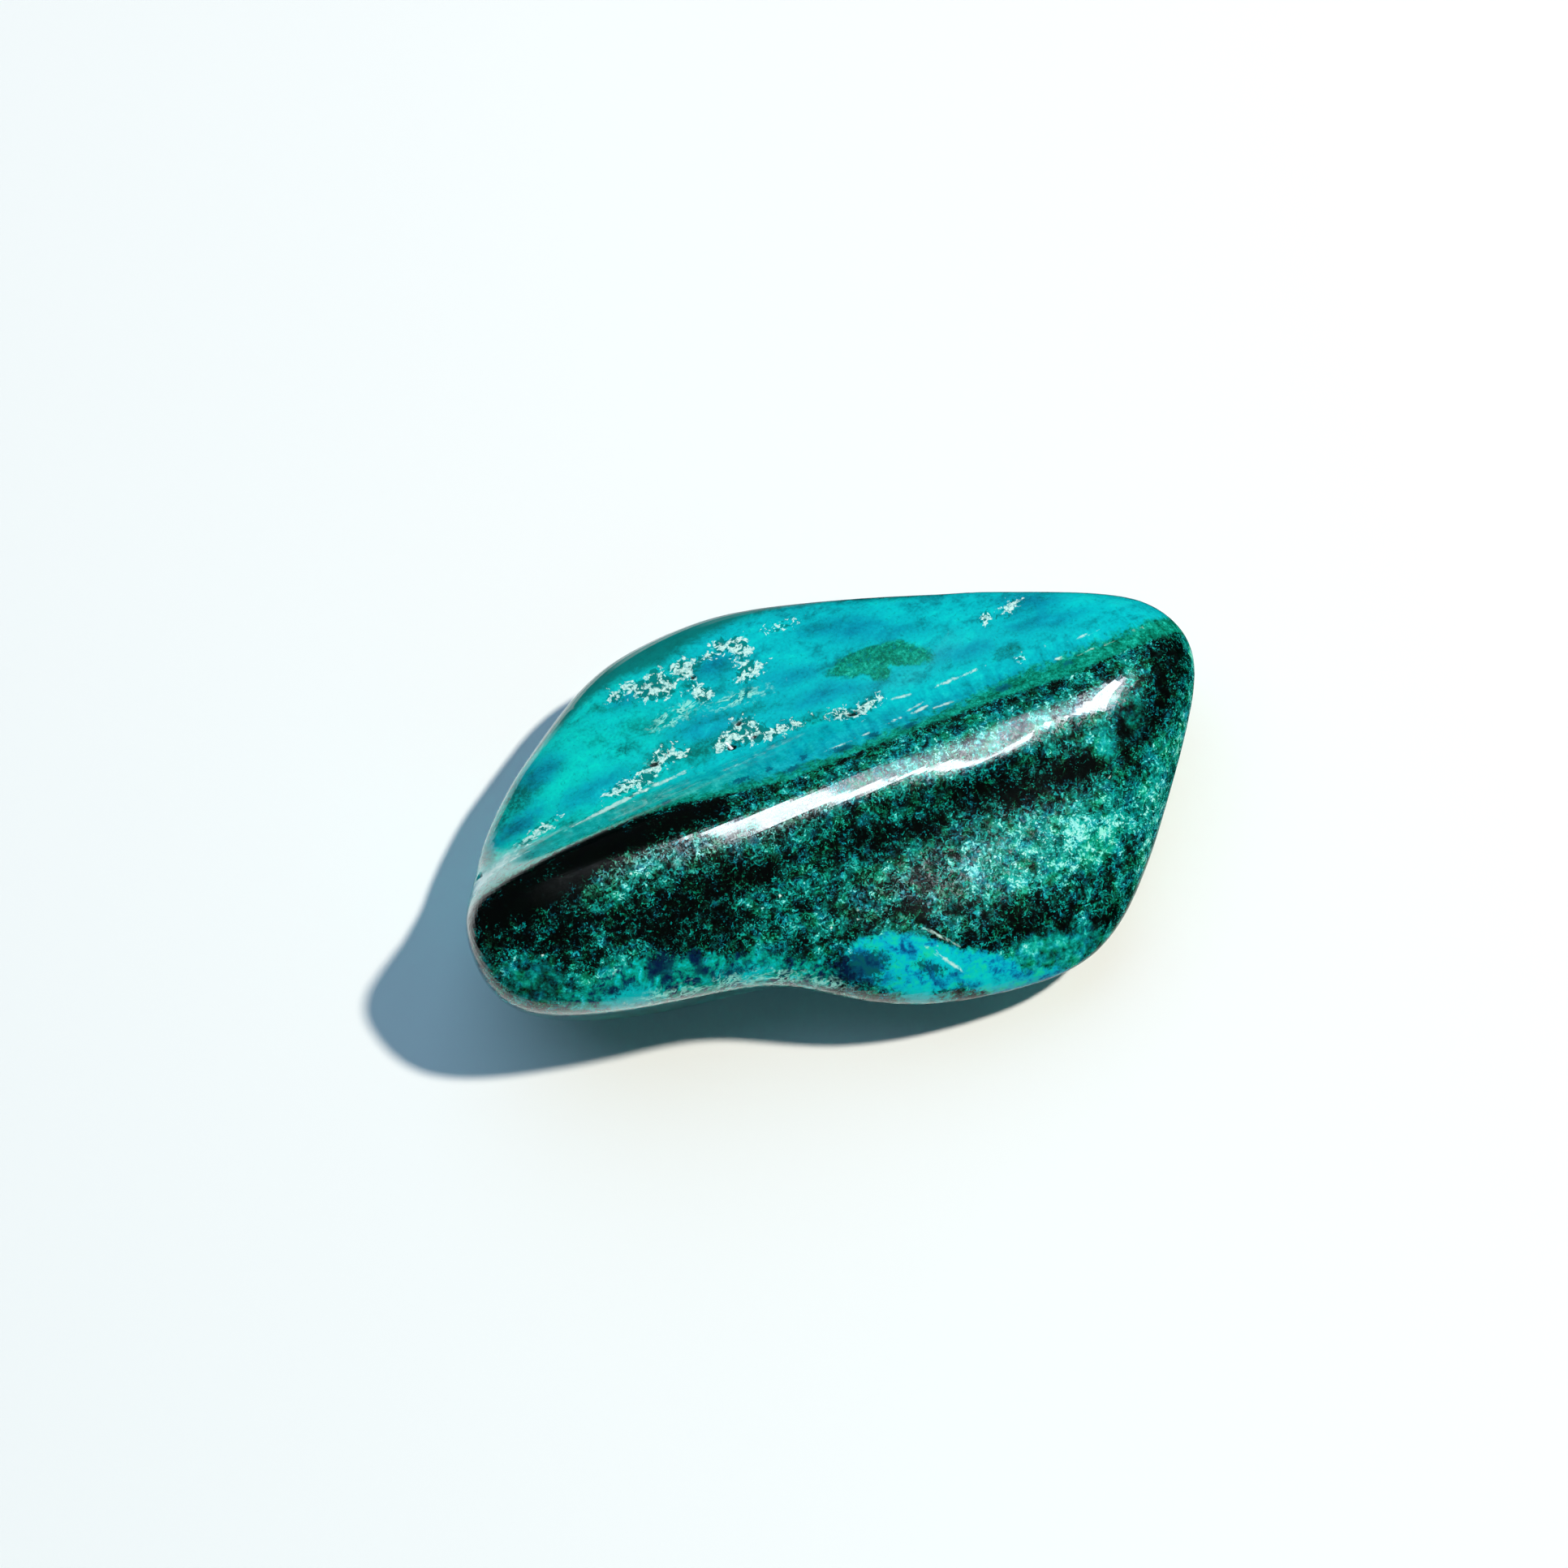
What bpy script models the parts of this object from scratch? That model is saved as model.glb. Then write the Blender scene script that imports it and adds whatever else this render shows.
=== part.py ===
"""A chrysocolla specimen: one tumble-polished stone, lying on its flattest face.

The stone is a single solid. Its form is a set of worn faces: round the sides, a long front slope
and two ends on the crown, a lower shelf behind the ridge, and a gently domed underside. Each face
is a plane at a distance from the stone's middle, and neighbouring planes run into each other
softly. Shallow hollows and swellings come next, and then the tumbling, which rounds every edge.

Metres, +Z up. The ridge runs along X, the stone rests on z = 0 and its box is centred on Z's axis.
"""

import math

import bmesh
import bpy
import numpy as np
from mathutils import Vector, noise

MM = 0.001

# Faces of the mesh along the stone's length, width and height.
FACES_ALONG = (46, 30, 11)
# Half the length, width and height of the box that the mesh starts from, in mm.
HALF_BOX = (23.0, 14.0, 7.0)
# Height of the stone's middle over the surface that it lies on, in mm.
MIDDLE_HEIGHT = 6.5

# Each worn face: the azimuth and elevation of its outward direction in degrees (azimuth 0 is +X,
# 90 is +Y), and its distance from the stone's middle in mm.
SIDES = {
    "back": (65.7, 4, 13.0),
    "back_right": (30, 0, 21.9),
    "right": (-43, 5, 18.1),
    "right_front": (-61, -5, 18.1),
    "front_right": (-98.3, -10, 14.8),
    "front": (-113.5, -12, 12.5),
    "left_front": (-152.6, -10, 21.8),
    "left": (158.5, 0, 22.7),
    "left_back": (138, 0, 19.6),
    "back_left": (123.5, 0, 17.1),
    "back_middle": (92.8, 4, 15.1),
}
CROWN = {
    "front_slope_left": (-93, 68.0, 6.0),
    "front_slope_right": (-77, 67.5, 5.15),
    "left_end": (172, 10, 24.2),
    "right_end": (-5, 51, 15.6),
}
RIDGE_BACK = {
    "ridge_back_left": (89, 31.8, 4.45),
    "ridge_back": (79.8, 55.6, 4.16),
}
SHELF = {
    "shelf": (108, 84.5, 2.1),
}
UNDERSIDE = {
    "under": (0, -90, 6.8),
    "under_to_left": (172, -80, 8.4),
    "under_to_right": (4, -79, 8.2),
    "under_to_front": (-100, -74, 7.8),
    "under_to_back": (82, -72, 7.9),
    "under_front": (-105, -45, 10.8),
    "under_back": (80, -45, 11.0),
    "under_left": (175, -40, 18.5),
    "under_right": (-25, -45, 17.5),
}

# How crisply faces meet before tumbling: a higher number leaves a sharper edge.
SIDE_CRISPNESS = 30.0
CROWN_CRISPNESS = 26.0
UNDERSIDE_CRISPNESS = 14.0
CREASE_CRISPNESS = 24.0
RIDGE_CRISPNESS = 11.0
GIRDLE_CRISPNESS = 18.0

# Shallow hollows and low swellings: the middle from the stone's middle, the reach each way and
# the depth, all in mm. A depth below zero is a swelling.
HOLLOWS = {
    "waist_of_the_front": ((-10.3, -9.8, -1.0), (8.0, 6.0, 7.0), 2.15),
    "dip_before_the_lobe": ((6.0, -5.5, 3.0), (7.0, 3.2, 4.0), 0.28),
    "front_right_lobe": ((1.5, -11.5, 1.5), (6.0, 3.0, 4.0), -0.30),
    "dip_on_the_shelf": ((-8.0, 8.5, 1.0), (6.0, 3.0, 4.0), 0.22),
    "swelling_on_the_shelf": ((6.0, 7.5, 1.0), (7.0, 3.0, 4.0), -0.20),
    "worn_lower_left": ((-17.5, -11.0, 0.5), (3.0, 3.0, 4.0), 0.25),
}
# Gentle unevenness that the faces keep after tumbling.
WAVE_LENGTH = 8.5
WAVE_HEIGHT = 0.16

# Tumbling: how often each point is drawn towards its neighbours' middle, and how far each time.
TUMBLING_PASSES = 4
TUMBLING_STRENGTH = 0.5
# What the tumbling takes off the edges, added to the faces' distances beforehand, in mm.
WORN_OFF = 0.3

# A ray that turns away from a face by more than this cosine never meets it.
GRAZING = 0.0001

STONE_COLOUR = (0.010, 0.260, 0.250, 1.0)
STONE_ROUGHNESS = 0.16


def clear_scene():
    """Remove the objects that the scene opened with."""
    for item in list(bpy.data.objects):
        bpy.data.objects.remove(item, do_unlink=True)


def direction(azimuth, elevation):
    """The unit vector that points at an azimuth and elevation, both in degrees."""
    turn = math.radians(azimuth)
    rise = math.radians(elevation)
    level = math.cos(rise)
    return np.array([math.cos(turn) * level, math.sin(turn) * level, math.sin(rise)])


def join(parts, crispness):
    """Join the reaches of several faces, so that the nearest face wins with a soft edge."""
    return sum(part ** crispness for part in parts) ** (1.0 / crispness)


def reach(rays, faces, crispness):
    """One over the distance, along each ray, to the nearest of these faces."""
    parts = []
    for azimuth, elevation, distance in faces.values():
        towards = np.maximum(rays @ direction(azimuth, elevation), GRAZING)
        parts.append(towards / (distance + WORN_OFF))
    return join(parts, crispness)


def crown_reach(rays):
    """The upper side: the ridge and, behind its crease, the lower shelf."""
    behind_ridge = reach(rays, RIDGE_BACK, CROWN_CRISPNESS)
    shelf = reach(rays, SHELF, CROWN_CRISPNESS)
    # The shelf fills the foot of the ridge, so of these two the farther face counts.
    crease = 1.0 / join([1.0 / behind_ridge, 1.0 / shelf], CREASE_CRISPNESS)
    front = reach(rays, CROWN, CROWN_CRISPNESS)
    return join([front, crease], RIDGE_CRISPNESS)


def worn_faces(rays):
    """Points on the joined faces, in mm from the stone's middle, one for each ray."""
    groups = [
        reach(rays, SIDES, SIDE_CRISPNESS),
        crown_reach(rays),
        reach(rays, UNDERSIDE, UNDERSIDE_CRISPNESS),
    ]
    return rays / join(groups, GIRDLE_CRISPNESS)[:, None]


def hollowed(points, rays):
    """Press the hollows in and let the swellings out, along each point's ray."""
    sink = np.zeros(len(points))
    for middle, size, depth in HOLLOWS.values():
        offset = (points - np.array(middle)) / np.array(size)
        sink += depth * np.exp(-(offset ** 2).sum(axis=1))
    return points - rays * sink[:, None]


def waved(points, rays):
    """Add the gentle unevenness."""
    rise = [noise.noise(Vector(point / WAVE_LENGTH)) for point in points]
    return points + rays * (WAVE_HEIGHT * np.array(rise))[:, None]


def cut_across(bm, axis, pieces):
    """Cut every edge that runs along an axis into equal pieces."""
    edges = []
    for edge in bm.edges:
        start, end = edge.verts
        if start.co[axis] != end.co[axis]:
            edges.append(edge)
    bmesh.ops.subdivide_edges(bm, edges=edges, cuts=pieces - 1, use_grid_fill=True)


def gridded_box():
    """A closed box from -1 to 1 each way, with its faces cut into a grid."""
    bm = bmesh.new()
    bmesh.ops.create_cube(bm, size=2.0)
    for axis, pieces in enumerate(FACES_ALONG):
        cut_across(bm, axis, pieces)
    return bm


def place(bm, points):
    """Move the mesh's points to these places."""
    for vert, point in zip(bm.verts, points):
        vert.co = Vector(point)


def shape(bm):
    """Move each point of the box along its ray from the middle to the stone's worn surface."""
    rays = np.array([vert.co for vert in bm.verts]) * np.array(HALF_BOX)
    rays /= np.linalg.norm(rays, axis=1)[:, None]
    place(bm, waved(hollowed(worn_faces(rays), rays), rays))


def tumble(bm):
    """Round the edges, as hours in a turning barrel do."""
    for _ in range(TUMBLING_PASSES):
        bmesh.ops.smooth_vert(
            bm,
            verts=bm.verts[:],
            factor=TUMBLING_STRENGTH,
            use_axis_x=True,
            use_axis_y=True,
            use_axis_z=True,
        )


def lay_down(bm):
    """Set the stone on z = 0, with a true flat there, centre its box and turn mm into metres."""
    points = np.array([vert.co for vert in bm.verts])
    points[:, 2] = np.maximum(points[:, 2] + MIDDLE_HEIGHT, 0.0)
    middle = (points.min(axis=0) + points.max(axis=0)) / 2.0
    points[:, :2] -= middle[:2]
    place(bm, points * MM)


def stone_mesh():
    """The stone's closed mesh, in metres."""
    bm = gridded_box()
    shape(bm)
    tumble(bm)
    lay_down(bm)
    bmesh.ops.triangulate(bm, faces=bm.faces[:], quad_method="SHORT_EDGE")
    bmesh.ops.recalc_face_normals(bm, faces=bm.faces[:])
    mesh = bpy.data.meshes.new("stone")
    bm.to_mesh(mesh)
    bm.free()
    mesh.shade_smooth()
    return mesh


def polished_stone():
    """The stone's plain colour and polish."""
    material = bpy.data.materials.new("polished_chrysocolla")
    material.use_nodes = True
    surface = material.node_tree.nodes["Principled BSDF"]
    surface.inputs["Base Color"].default_value = STONE_COLOUR
    surface.inputs["Roughness"].default_value = STONE_ROUGHNESS
    surface.inputs["Metallic"].default_value = 0.0
    return material


def build_stone():
    """The whole specimen, one closed solid."""
    stone = bpy.data.objects.new("stone", stone_mesh())
    stone.data.materials.append(polished_stone())
    bpy.context.scene.collection.objects.link(stone)
    return stone


clear_scene()
build_stone()
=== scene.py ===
# %% [markdown]
# # A tumble-polished chrysocolla stone
# The stone is one piece: a turquoise shelf at the back, a dark green body in front, and a long
# ridge between them. This script takes the finished solid as a fixed frame, lays a finer skin
# over it, and then gives that skin its minerals, its polish and its light.

import math
from types import SimpleNamespace

import bmesh
import bpy
import numpy as np
from mathutils import Matrix, Vector, noise
from mathutils.bvhtree import BVHTree


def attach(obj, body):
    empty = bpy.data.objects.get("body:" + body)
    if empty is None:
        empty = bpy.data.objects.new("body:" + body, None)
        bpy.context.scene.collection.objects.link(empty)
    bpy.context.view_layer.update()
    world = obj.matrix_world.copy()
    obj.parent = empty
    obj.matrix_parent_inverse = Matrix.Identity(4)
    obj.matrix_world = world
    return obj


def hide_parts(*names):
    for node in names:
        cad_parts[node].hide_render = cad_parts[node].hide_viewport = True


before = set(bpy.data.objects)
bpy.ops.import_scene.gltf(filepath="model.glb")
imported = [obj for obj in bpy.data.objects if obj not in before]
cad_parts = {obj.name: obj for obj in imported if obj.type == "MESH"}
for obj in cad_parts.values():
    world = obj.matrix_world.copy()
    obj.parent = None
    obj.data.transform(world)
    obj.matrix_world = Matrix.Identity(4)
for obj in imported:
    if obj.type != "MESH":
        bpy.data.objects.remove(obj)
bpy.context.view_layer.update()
MM = 0.001

# %% [markdown]
# ## The camera
# A small stone is usually shown from well above, a little to one side, so that the ridge and
# both slopes read. A long lens some 30 cm away keeps the outline true. Building the camera's
# three axes from its bearing keeps every number something a person can measure.

# %% Directions
STONE_MIDDLE = Vector((0.0, 0.0, 6.5 * MM))


def towards(bearing, rise):
    """The unit vector at a bearing from +X and a rise above the floor, both in degrees."""
    turn, lift = math.radians(bearing), math.radians(rise)
    level = math.cos(lift)
    return Vector((math.cos(turn) * level, math.sin(turn) * level, math.sin(lift)))


print("straight up is", towards(0.0, 90.0))

# %% Camera
CAMERA_BEARING = -115.0
CAMERA_RISE = 70.0
CAMERA_DISTANCE = 320.0 * MM
VIEW_WIDTH = 92.54 * MM
SENSOR_WIDTH = 36.0
SLIDE_LEFT = 3.16 * MM
SLIDE_UP = 1.20 * MM
NEAREST_SEEN = 10.0 * MM
FARTHEST_SEEN = 10.0


def add_camera():
    """A camera that looks at the stone from above its dark front."""
    back = towards(CAMERA_BEARING, CAMERA_RISE)
    across = Vector((0.0, 0.0, 1.0)).cross(back).normalized()
    upward = back.cross(across)
    lens = bpy.data.cameras.new("stone_camera")
    lens.sensor_width = SENSOR_WIDTH
    lens.lens = SENSOR_WIDTH * CAMERA_DISTANCE / VIEW_WIDTH
    camera = bpy.data.objects.new("stone_camera", lens)
    bpy.context.scene.collection.objects.link(camera)
    camera.rotation_mode = "QUATERNION"
    camera.rotation_quaternion = (-back).to_track_quat("-Z", "Y")
    camera.location = STONE_MIDDLE + back * CAMERA_DISTANCE
    camera.location += upward * SLIDE_UP - across * SLIDE_LEFT
    lens.clip_start = NEAREST_SEEN
    lens.clip_end = FARTHEST_SEEN
    bpy.context.scene.camera = camera
    print(f"camera: {lens.lens:.1f} mm lens, {CAMERA_DISTANCE / MM:.0f} mm away")


add_camera()

# %% [markdown]
# ## The light
# A polished stone is lit twice, because its colours and its shine want different lamps. Cycles
# can keep a light out of the diffuse or the glossy part, so the two sets don't disturb each
# other. For the colours, one small warm key casts the shadow, and a broad cool fill behind the
# stone and a small teal bounce in front open that shadow up.

# %% One light
def hang_light(name, place, size, watts, colour, mirrored, long_way=0.0):
    """An area light that faces the stone, its long side level and along one bearing.

    A mirrored light is seen only in the polish, and any other one only lights up colours.
    """
    lamp = bpy.data.lights.new(name, "AREA")
    lamp.shape = "RECTANGLE" if len(size) == 2 else "DISK"
    lamp.size = size[-1]
    lamp.size_y = size[0]
    lamp.energy = watts
    lamp.color = colour
    light = bpy.data.objects.new(name, lamp)
    back = (place - STONE_MIDDLE).normalized()
    along = towards(long_way, 0.0)
    level = (along - back * back.dot(along)).normalized()
    axes = Matrix((level, back.cross(level), back)).transposed()
    light.rotation_mode = "QUATERNION"
    light.rotation_quaternion = axes.to_quaternion()
    light.location = place
    light.visible_diffuse = not mirrored
    light.visible_glossy = mirrored
    bpy.context.scene.collection.objects.link(light)
    print(f"{name}: {watts} W")


# %% Key, fill and bounce
# Each lamp: its bearing, rise, distance in metres and width in metres, then watts and colour.
LAMPS = {
    "key_light": (-11.7, 58.5, 0.9, 0.060, 8.4, (1.0, 0.937, 0.83)),
    "fill_light": (100.0, 52.0, 1.4, 2.2, 11.5, (0.42, 0.70, 1.0)),
    "bounce": (-105.0, 30.0, 0.5, 0.30, 0.20, (0.05, 0.80, 1.0)),
}


def light_the_colours():
    """The lamps that the polish doesn't mirror."""
    for name, (bearing, rise, distance, width, watts, colour) in LAMPS.items():
        place = STONE_MIDDLE + towards(bearing, rise) * distance
        hang_light(name, place, (width,), watts, colour, False)


light_the_colours()

# %% [markdown]
# ## What the polish mirrors
# The white streak on the ridge is a window, mirrored. One long light could draw it, but the real
# streak is thick at both ends and thin in the middle. So four bright panes make it: its left
# half, its right half, a thin piece between them and a sash beside that. Two wide dim panes make
# the grainy sheen above the streak. Only the direction of a light decides where it is mirrored,
# so each pane is placed by bearing and rise, and its width sets the thickness of the streak.

# %% Window panes
PANE_DISTANCE = 0.8
COOL_WHITE = (0.88, 0.95, 1.0)
DIM_VIOLET = (0.74, 0.80, 1.0)
# Each pane: its bearing, rise, width, length and the bearing of its length, then watts, colour.
PANES = {
    "left_pane": ((28.0, 72.1, 0.046, 0.54, 89.0), 2.3, COOL_WHITE),
    "middle_pane": ((-31.0, 68.4, 0.044, 0.20, 95.0), 0.85, COOL_WHITE),
    "sash": ((-29.0, 65.0, 0.034, 0.07, 95.0), 0.24, COOL_WHITE),
    "right_pane": ((8.0, 58.0, 0.075, 0.54, 74.0), 3.9, COOL_WHITE),
    "dim_left_pane": ((29.0, 66.5, 0.110, 0.50, 95.0), 0.70, DIM_VIOLET),
    "dim_right_pane": ((18.4, 55.3, 0.130, 0.46, 75.0), 0.50, DIM_VIOLET),
}


def hang_window():
    """All the panes, which only the polish sees."""
    for name, (pane, watts, colour) in PANES.items():
        bearing, rise, width, length, long_way = pane
        place = STONE_MIDDLE + towards(bearing, rise) * PANE_DISTANCE
        hang_light(name, place, (width, length), watts, colour, True, long_way)


hang_window()

# %% Room
ROOM_COLOUR = (0.80, 0.88, 1.0, 1.0)
ROOM_STRENGTH = 0.05


def dim_room():
    """A faint cool glow all round, and colours shown as they are."""
    room = bpy.data.worlds.new("pale_room")
    room.use_nodes = True
    glow = room.node_tree.nodes["Background"]
    glow.inputs["Color"].default_value = ROOM_COLOUR
    glow.inputs["Strength"].default_value = ROOM_STRENGTH
    bpy.context.scene.world = room
    bpy.context.scene.view_settings.view_transform = "Standard"
    print(f"{room.name}: strength {ROOM_STRENGTH}")


dim_room()

# %% [markdown]
# ## Small helpers for shader nodes
# Every finish below is a chain of nodes. These helpers add one node, fill its sockets from
# numbers or from other nodes, and give back what the next step needs, so that each finish
# reads from top to bottom like a recipe. Colours are written as a paint mixer would see them,
# from 0 to 255, and changed to light values here.

# %% Colours as light
def pigment(red, green, blue):
    """A screen colour from 0 to 255 as the light value that a shader needs."""
    values = []
    for level in (red, green, blue):
        share = level / 255.0
        dark = share <= 0.04045
        values.append(share / 12.92 if dark else ((share + 0.055) / 1.055) ** 2.4)
    return (*values, 1.0)


print("mid grey is", round(pigment(128, 128, 128)[0], 3), "as light")


# %% Nodes and sums
def put(tree, kind, inputs=None, **settings):
    """Add one node, set it up, and link or fill its sockets by name or number."""
    made = tree.nodes.new(kind)
    for name, value in settings.items():
        setattr(made, name, value)
    for key, value in (inputs or {}).items():
        socket = made.inputs[key]
        if isinstance(value, bpy.types.NodeSocket):
            tree.links.new(value, socket)
        else:
            socket.default_value = value
    return made


def maths(tree, operation, first, second=0.0):
    """One sum on two values."""
    made = put(tree, "ShaderNodeMath", {0: first, 1: second}, operation=operation)
    return made.outputs[0]


def times(tree, first, second):
    """One value times another."""
    return maths(tree, "MULTIPLY", first, second)


def opposite(tree, mask):
    """1 where the mask is 0, and 0 where it is 1."""
    return maths(tree, "SUBTRACT", 1.0, mask)


def swing(tree, value, amount):
    """A noise value moved to swing about 0 and made stronger or weaker."""
    return times(tree, maths(tree, "SUBTRACT", value, 0.5), amount)


def total(tree, *values):
    """The sum of several values."""
    result = values[0]
    for value in values[1:]:
        result = maths(tree, "ADD", result, value)
    return result


# %% Ranges and blends
def spread(tree, value, low, high, to_low=0.0, to_high=1.0, smooth=True):
    """Stretch a value from one range to another, held at both ends."""
    inputs = {"Value": value, "From Min": low, "From Max": high}
    inputs.update({"To Min": to_low, "To Max": to_high})
    style = "SMOOTHSTEP" if smooth else "LINEAR"
    return put(tree, "ShaderNodeMapRange", inputs, interpolation_type=style).outputs[0]


def between(tree, share, start, end):
    """The value that lies a share of the way from start to end."""
    return put(tree, "ShaderNodeMix", {0: share, 2: start, 3: end}).outputs[0]


def blend(tree, mask, below, above, blend_type="MIX"):
    """Lay one colour over another where the mask is 1."""
    inputs = {0: mask, 6: below, 7: above}
    made = put(tree, "ShaderNodeMix", inputs, data_type="RGBA", blend_type=blend_type)
    return made.outputs[2]


def ramp(tree, value, stops):
    """Turn a value into a colour along a row of (place, colour) stops."""
    made = put(tree, "ShaderNodeValToRGB", {0: value})
    points = made.color_ramp.elements
    while len(points) < len(stops):
        points.new(0.5)
    for point, (place, colour) in zip(points, stops):
        point.position = place
        point.color = colour
    return made.outputs[0]


# %% Patterns
def cloud(tree, vector, scale, detail=2.0, roughness=0.5, distortion=0.0):
    """Soft noise, about 0.5 on average. The scale counts its lumps per millimetre."""
    inputs = {"Vector": vector, "Scale": scale, "Detail": detail}
    inputs.update({"Roughness": roughness, "Distortion": distortion})
    return put(tree, "ShaderNodeTexNoise", inputs).outputs[0]


def field(tree, name):
    """A value painted on the stone's own points."""
    made = put(tree, "ShaderNodeAttribute", attribute_name=name)
    return made.outputs["Fac"]


def along_x(tree, vector):
    """How far to the right a place lies."""
    return put(tree, "ShaderNodeSeparateXYZ", {0: vector}).outputs[0]


def vector_sum(tree, operation, inputs):
    """One sum on vectors."""
    return put(tree, "ShaderNodeVectorMath", inputs, operation=operation).outputs[0]


def swing_vector(tree, colour, reach):
    """A random colour as a vector that swings about zero, made longer or shorter."""
    centred = vector_sum(tree, "SUBTRACT", {0: colour, 1: (0.5, 0.5, 0.5)})
    return vector_sum(tree, "SCALE", {0: centred, "Scale": reach})


def bent_by_noise(tree, vector, scale, detail, reach):
    """Places moved about by noise, so that what is drawn on them wanders."""
    bend = put(tree, "ShaderNodeTexNoise", {"Vector": vector, "Scale": scale, "Detail": detail})
    bend = swing_vector(tree, bend.outputs["Color"], reach)
    return vector_sum(tree, "ADD", {0: vector, 1: bend})


# %% Node groups
def new_group(name, inputs, outputs):
    """An empty node group with named sockets, and its two end nodes."""
    tree = bpy.data.node_groups.new(name, "ShaderNodeTree")
    kinds = {"value": "NodeSocketFloat", "vector": "NodeSocketVector"}
    for direction, sockets in (("INPUT", inputs), ("OUTPUT", outputs)):
        for socket_name, kind in sockets.items():
            tree.interface.new_socket(socket_name, in_out=direction, socket_type=kinds[kind])
    entry = tree.nodes.new("NodeGroupInput").outputs
    exit_node = tree.nodes.new("NodeGroupOutput").inputs
    return tree, entry, exit_node


def use(tree, group, inputs):
    """Place a group in a material and give back its outputs."""
    return put(tree, "ShaderNodeGroup", inputs, node_tree=group).outputs


# %% [markdown]
# ## The floor
# A plain pale table top. It matters more than it seems: the polished rims of the stone mirror
# it, which draws a light line round the outline. One flat face is enough for a floor. Farther
# out and on the right the polish should see a dark room, as if black card stood there, so the
# paint turns dark for mirrored rays that have come a long way or that land on that side, except
# for the first few millimetres beside the rim.

# %% Floor
FLOOR_HALF = 1.5
FLOOR_COLOUR = pigment(244, 245, 245)
FAR_FLOOR = pigment(16, 30, 34)
FLOOR_ROUGHNESS = 0.7
MIRROR_NEAR, MIRROR_FAR = 18.0 * MM, 45.0 * MM
CARD_FROM, CARD_TO = -6.0 * MM, 10.0 * MM
RIM_NEAR, RIM_FAR = 2.0 * MM, 6.0 * MM


def pale_paint():
    """Paint that is pale to the eye and dark in the far part of the mirror."""
    paint = bpy.data.materials.new("pale_table")
    paint.use_nodes = True
    tree = paint.node_tree
    shader = tree.nodes["Principled BSDF"]
    path = put(tree, "ShaderNodeLightPath").outputs
    far = spread(tree, path["Ray Length"], MIRROR_NEAR, MIRROR_FAR)
    place = put(tree, "ShaderNodeTexCoord").outputs["Object"]
    card = spread(tree, along_x(tree, place), CARD_FROM, CARD_TO)
    past_rim = spread(tree, path["Ray Length"], RIM_NEAR, RIM_FAR)
    dark = maths(tree, "MAXIMUM", far, times(tree, card, past_rim))
    dark = times(tree, dark, path["Is Glossy Ray"])
    tree.links.new(blend(tree, dark, FLOOR_COLOUR, FAR_FLOOR), shader.inputs["Base Color"])
    shader.inputs["Roughness"].default_value = FLOOR_ROUGHNESS
    shader.inputs["Specular IOR Level"].default_value = 0.0
    return paint


def add_floor():
    """A wide pale sheet under the stone."""
    sheet = bmesh.new()
    bmesh.ops.create_grid(sheet, x_segments=1, y_segments=1, size=FLOOR_HALF)
    mesh = bpy.data.meshes.new("floor")
    sheet.to_mesh(mesh)
    sheet.free()
    floor = bpy.data.objects.new("floor", mesh)
    bpy.context.scene.collection.objects.link(floor)
    mesh.materials.append(pale_paint())
    print(f"floor: {2 * FLOOR_HALF} m across")


add_floor()

# %% [markdown]
# ## A finer skin
# The solid has facets under a millimetre wide. Smooth shading alone would hide them on the
# faces but not on the outline. So its loose triangles are welded and paired into four-sided
# faces, and two rounds of subdivision then round them off. Subdividing pulls the skin in by a
# few hundredths of a millimetre, which is less than a real tumbler takes off.

# %% Skin
SKIN_LEVELS = 2
WELD = 0.001 * MM
PAIR_BEND = 0.7
PAIR_SKEW = 1.2


def finer_skin():
    """A welded, subdivided copy of the solid."""
    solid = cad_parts["stone"].data
    skin = bmesh.new()
    skin.from_mesh(solid)
    bmesh.ops.remove_doubles(skin, verts=skin.verts[:], dist=WELD)
    bmesh.ops.join_triangles(
        skin, faces=skin.faces[:], angle_face_threshold=PAIR_BEND,
        angle_shape_threshold=PAIR_SKEW)
    mesh = bpy.data.meshes.new("polished_stone")
    skin.to_mesh(mesh)
    skin.free()
    mesh.materials.clear()
    stone = bpy.data.objects.new("polished_stone", mesh)
    bpy.context.scene.collection.objects.link(stone)
    rounding = stone.modifiers.new("rounding", "SUBSURF")
    rounding.levels = SKIN_LEVELS
    rounding.render_levels = SKIN_LEVELS
    finished = stone.evaluated_get(bpy.context.evaluated_depsgraph_get())
    stone.data = bpy.data.meshes.new_from_object(finished)
    stone.data.name = "polished_stone"
    stone.modifiers.clear()
    bpy.data.meshes.remove(mesh)
    print(f"skin: {len(stone.data.polygons)} faces")
    return stone


stone = finer_skin()

# %% [markdown]
# ## Where the minerals lie
# The stone is a slice through layers, so its colours have places: the turquoise shelf, the
# black shoulder, the blue lobe in front. A painter would dab them on by hand, and an unwrapped
# picture could hold them, but it would blur close up. Here each dab is an ellipse on the upper
# side, given in millimetres by its middle, its two reaches and then its turn in degrees, and a
# plumb line finds the surface below it. Every point of the skin then learns how many
# millimetres it lies inside the nearest dab, and the shader later frays that soft border.

# %% Plumb line
POINTS = np.array([corner.co for corner in stone.data.vertices]) / MM
plumb = BVHTree.FromObject(stone, bpy.context.evaluated_depsgraph_get())
ABOVE = 100.0 * MM
HEIGHT_BESIDE = 4.0


def height_at(x, y):
    """The height of the stone's upper side at a place, all in mm."""
    hit = plumb.ray_cast(Vector((x * MM, y * MM, ABOVE)), Vector((0.0, 0.0, -1.0)))[0]
    return hit.z / MM if hit else HEIGHT_BESIDE


print(f"the middle of the stone is {height_at(0.0, 0.0):.1f} mm high")

# %% Dabs
FAR_AWAY = -4.0


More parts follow.
